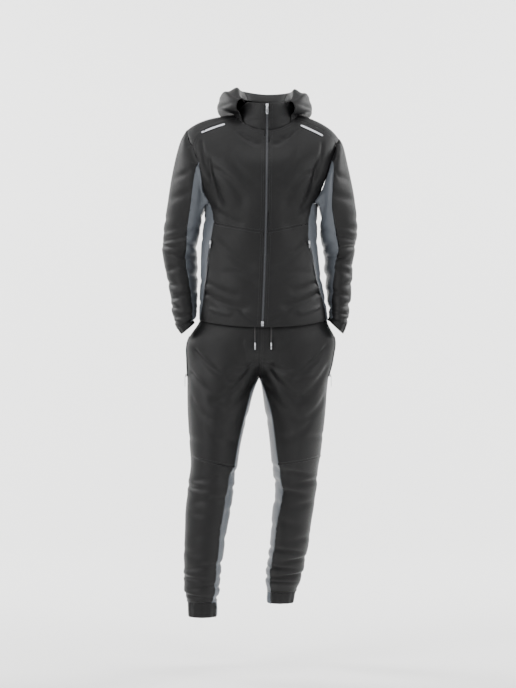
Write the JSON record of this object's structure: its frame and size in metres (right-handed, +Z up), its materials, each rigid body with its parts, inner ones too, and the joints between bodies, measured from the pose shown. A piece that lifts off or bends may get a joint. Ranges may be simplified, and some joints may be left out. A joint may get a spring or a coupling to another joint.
{
  "type": "tracksuit",
  "caption": "Black zip-up hooded tracksuit with grey side, sleeve and inseam panels, filled out as worn: jacket and joggers with elastic cuffs.",
  "frame": {"origin": "between the wearer's shoulder points, at the height where the collar meets the shoulders", "axes": "+Z up, the front faces -Y, +X towards the wearer's left"},
  "size_m": [0.554, 0.3419, 1.4647],
  "materials": {
    "black_knit": "satin-faced polyester knit, black",
    "grey_knit": "satin-faced polyester knit, cool grey",
    "elastic_band": "knit over elastic, gathered, black",
    "reflective_tape": "retroreflective tape, silver",
    "zip_tape": "woven tape with coil chain, dark grey",
    "zip_metal": "plated zinc, satin",
    "cord_cotton": "braided cord, black"
  },
  "bodies": {
    "garment": {"jacket_back": "black_knit", "jacket_collar_L": "black_knit", "jacket_collar_R": "black_knit", "jacket_front_lower_L": "black_knit", "jacket_front_lower_R": "black_knit", "jacket_front_slider": "zip_metal", "jacket_front_upper_L": "black_knit", "jacket_front_upper_R": "black_knit", "jacket_front_zip": "zip_tape", "jacket_hood_centre": "black_knit", "jacket_hood_side_L": "black_knit", "jacket_hood_side_R": "black_knit", "jacket_pocket_L_slider": "zip_metal", "jacket_pocket_R_slider": "zip_metal", "jacket_pocket_zip_L": "zip_tape", "jacket_pocket_zip_R": "zip_tape", "jacket_reflective_strip_L": "reflective_tape", "jacket_reflective_strip_R": "reflective_tape", "jacket_side_panel_L": "grey_knit", "jacket_side_panel_R": "grey_knit", "jacket_sleeve_L": "black_knit", "jacket_sleeve_R": "black_knit", "jacket_sleeve_panel_L": "grey_knit", "jacket_sleeve_panel_R": "grey_knit", "jacket_wrist_cuff_L": "elastic_band", "jacket_wrist_cuff_R": "elastic_band", "jacket_yoke_L": "black_knit", "jacket_yoke_R": "black_knit", "jacket_zip_box": "zip_metal", "jogger_ankle_cuff_L": "elastic_band", "jogger_ankle_cuff_L_insert": "grey_knit", "jogger_ankle_cuff_R": "elastic_band", "jogger_ankle_cuff_R_insert": "grey_knit", "jogger_back_L": "black_knit", "jogger_back_R": "black_knit", "jogger_drawstring_L": "cord_cotton", "jogger_drawstring_R": "cord_cotton", "jogger_drawstring_tip_L": "zip_metal", "jogger_drawstring_tip_R": "zip_metal", "jogger_front_lower_L": "black_knit", "jogger_front_lower_R": "black_knit", "jogger_front_upper_L": "black_knit", "jogger_front_upper_R": "black_knit", "jogger_inseam_panel_L": "grey_knit", "jogger_inseam_panel_R": "grey_knit", "jogger_pocket_L_slider": "zip_metal", "jogger_pocket_R_slider": "zip_metal", "jogger_pocket_zip_L": "zip_tape", "jogger_pocket_zip_R": "zip_tape", "jogger_waistband": "elastic_band"},
    "jacket_front_pull": {"jacket_front_pull": "zip_metal"},
    "jacket_pocket_L_pull": {"jacket_pocket_L_pull": "zip_metal"},
    "jacket_pocket_R_pull": {"jacket_pocket_R_pull": "zip_metal"},
    "jogger_pocket_L_pull": {"jogger_pocket_L_pull": "zip_metal"},
    "jogger_pocket_R_pull": {"jogger_pocket_R_pull": "zip_metal"}
  },
  "joints": [
    {"name": "jacket_front_pull_hinge", "type": "hinge", "parent": "garment", "child": "jacket_front_pull", "pos_m": [0.00798, -0.04957, 0.00925], "axis": [-0.9999, 0.012, 0], "range_deg": [0, 110]},
    {"name": "jacket_pocket_L_pull_hinge", "type": "hinge", "parent": "garment", "child": "jacket_pocket_L_pull", "pos_m": [0.12443, -0.07308, -0.36776], "axis": [-0.806, -0.5919, 0], "range_deg": [0, 110]},
    {"name": "jacket_pocket_R_pull_hinge", "type": "hinge", "parent": "garment", "child": "jacket_pocket_R_pull", "pos_m": [-0.14865, -0.07735, -0.36769], "axis": [-0.8364, 0.5482, 0], "range_deg": [0, 110]},
    {"name": "jogger_pocket_L_pull_hinge", "type": "hinge", "parent": "garment", "child": "jogger_pocket_L_pull", "pos_m": [0.18602, -0.0092, -0.73441], "axis": [-0.1938, -0.981, 0], "range_deg": [0, 110]},
    {"name": "jogger_pocket_R_pull_hinge", "type": "hinge", "parent": "garment", "child": "jogger_pocket_R_pull", "pos_m": [-0.21962, -0.00936, -0.73394], "axis": [-0.2225, 0.9749, 0], "range_deg": [0, 110]}
  ]
}
